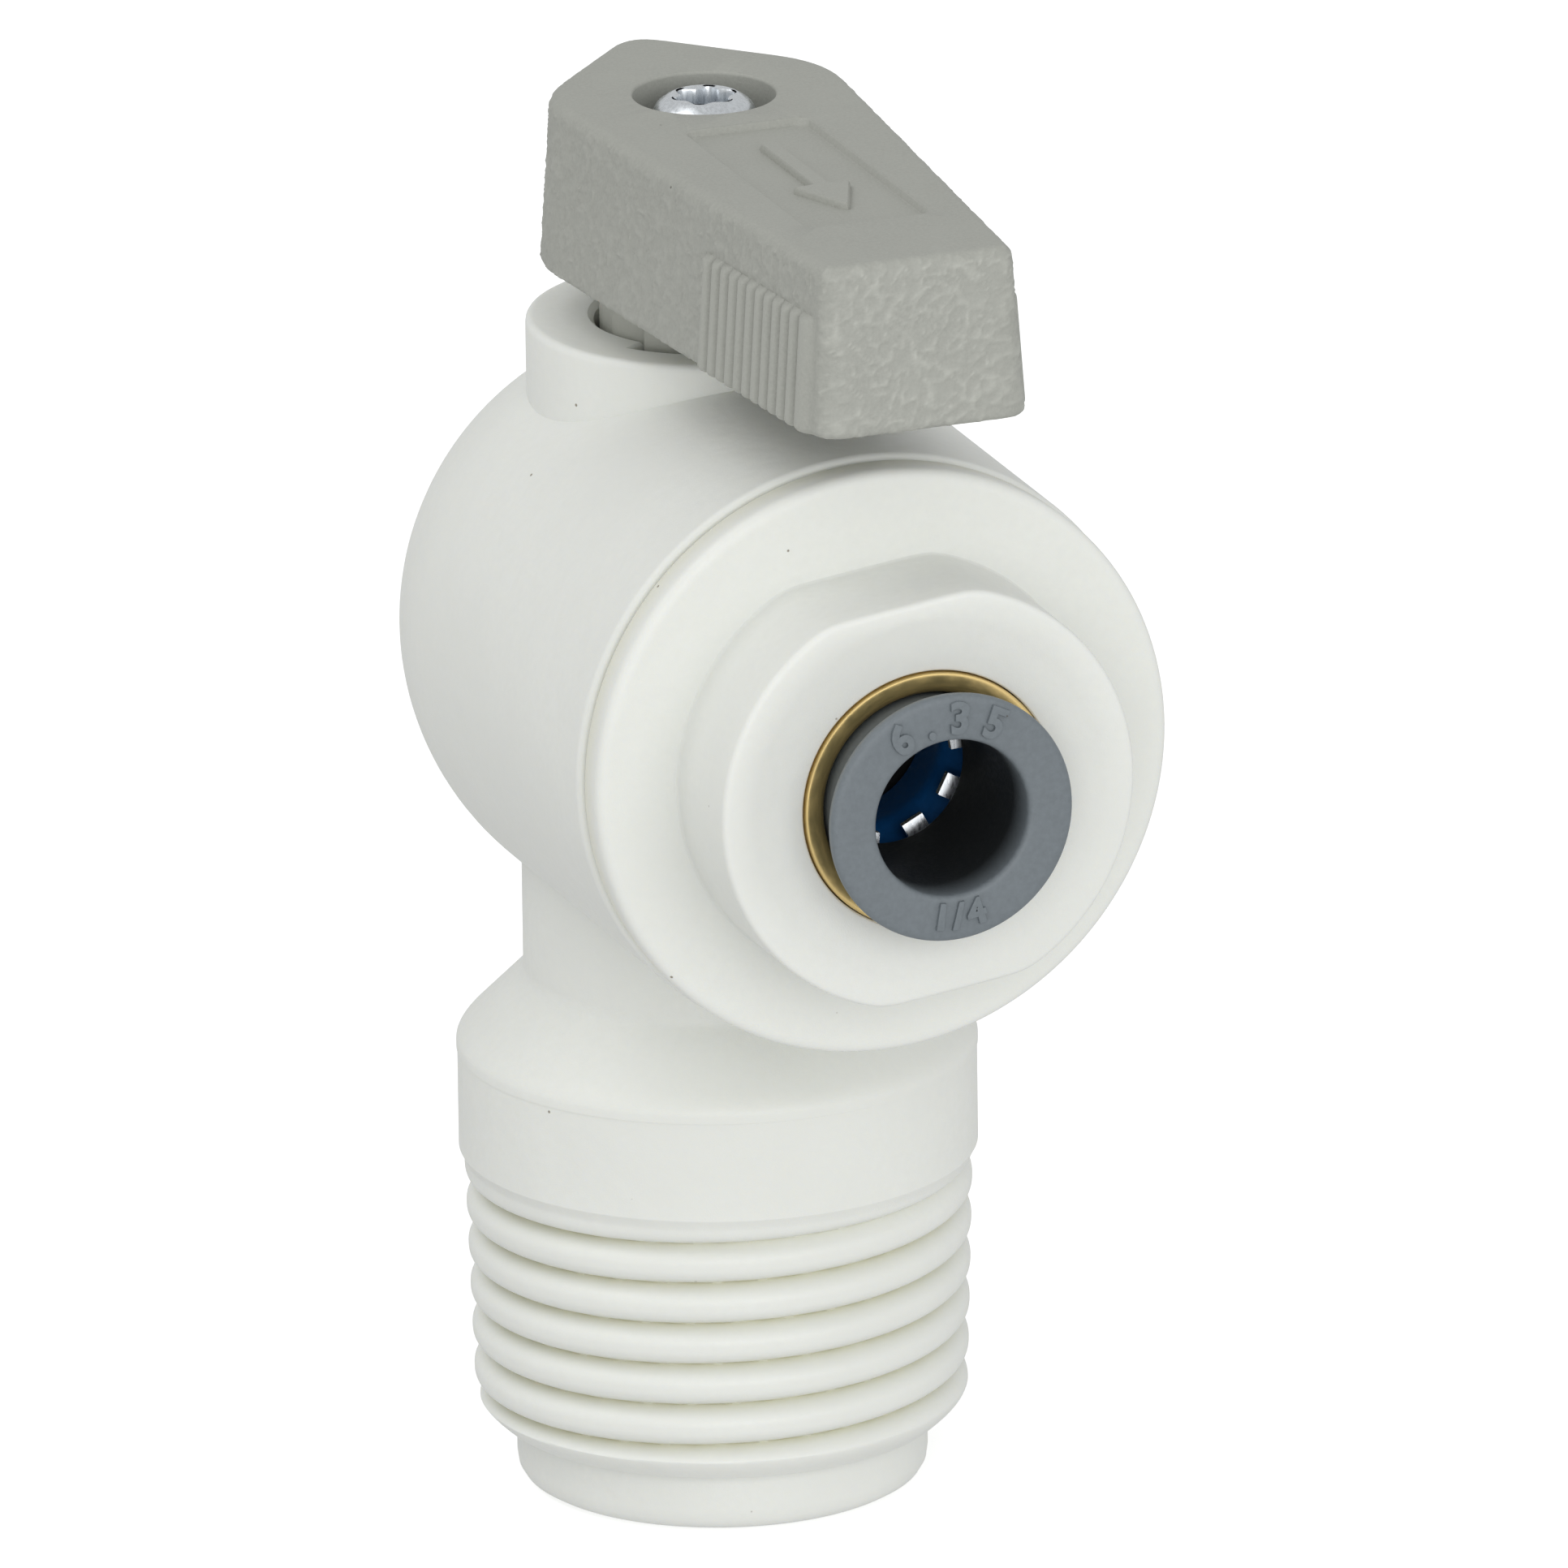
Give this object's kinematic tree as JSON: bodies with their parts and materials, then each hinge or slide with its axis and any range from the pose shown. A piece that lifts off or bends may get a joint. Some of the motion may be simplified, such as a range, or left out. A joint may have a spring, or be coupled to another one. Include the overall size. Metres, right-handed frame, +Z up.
{
  "type": "miniature ball valve",
  "caption": "Angle-pattern miniature quarter-turn ball valve: taper pipe thread inlet below, push-in tube port in front, lever on top, small rear vent.",
  "frame": {"origin": "on the axis of the pipe thread, at the end face of its spigot", "axes": "+Z up along the pipe thread and the lever's axis, -Y out of the tube port, +X to the right of someone facing the tube port"},
  "size_m": [0.0254, 0.0418, 0.0606],
  "materials": {
    "white_plastic": "satin moulded acetal, slightly warm white",
    "grey_plastic": "spark-eroded matt grey",
    "button_plastic": "satin blue-grey",
    "blue_plastic": "satin dark blue",
    "seat_plastic": "waxy white",
    "black_rubber": "smooth moulded rubber",
    "brass": "turned, lightly lacquered",
    "bright_steel": "stamped spring steel",
    "zinc_plated_steel": "bright zinc plate",
    "ball_metal": "polished nickel plate"
  },
  "bodies": {
    "valve_housing": {"valve_body": "white_plastic", "end_cap": "white_plastic", "front_ball_seat": "seat_plastic", "rear_ball_seat": "seat_plastic", "lower_ball_seat": "seat_plastic", "front_seat_backing_ring": "black_rubber", "rear_seat_backing_ring": "black_rubber", "lower_seat_backing_ring": "black_rubber", "cap_seal_ring": "black_rubber", "tube_seal_ring": "black_rubber", "seal_support_ring": "blue_plastic", "grip_ring": "bright_steel", "cartridge_ring": "brass"},
    "lever_and_ball": {"lever": "grey_plastic", "lever_screw": "zinc_plated_steel", "screw_washer": "zinc_plated_steel", "stem": "white_plastic", "stem_thrust_washer": "seat_plastic", "lower_stem_seal_ring": "black_rubber", "upper_stem_seal_ring": "black_rubber", "ball": "ball_metal"},
    "tube_release": {"release_button": "button_plastic"}
  },
  "joints": [
    {"name": "lever_turn", "type": "hinge", "parent": "valve_housing", "child": "lever_and_ball", "pos_m": [0, 0, 0.0373], "axis": [0, 0, 1], "range_deg": [0, 90]},
    {"name": "button_press", "type": "slide", "parent": "valve_housing", "child": "tube_release", "axis": [0, 1, 0], "range_m": [0, 0.0006], "stiffness_N_per_m": 2000}
  ]
}
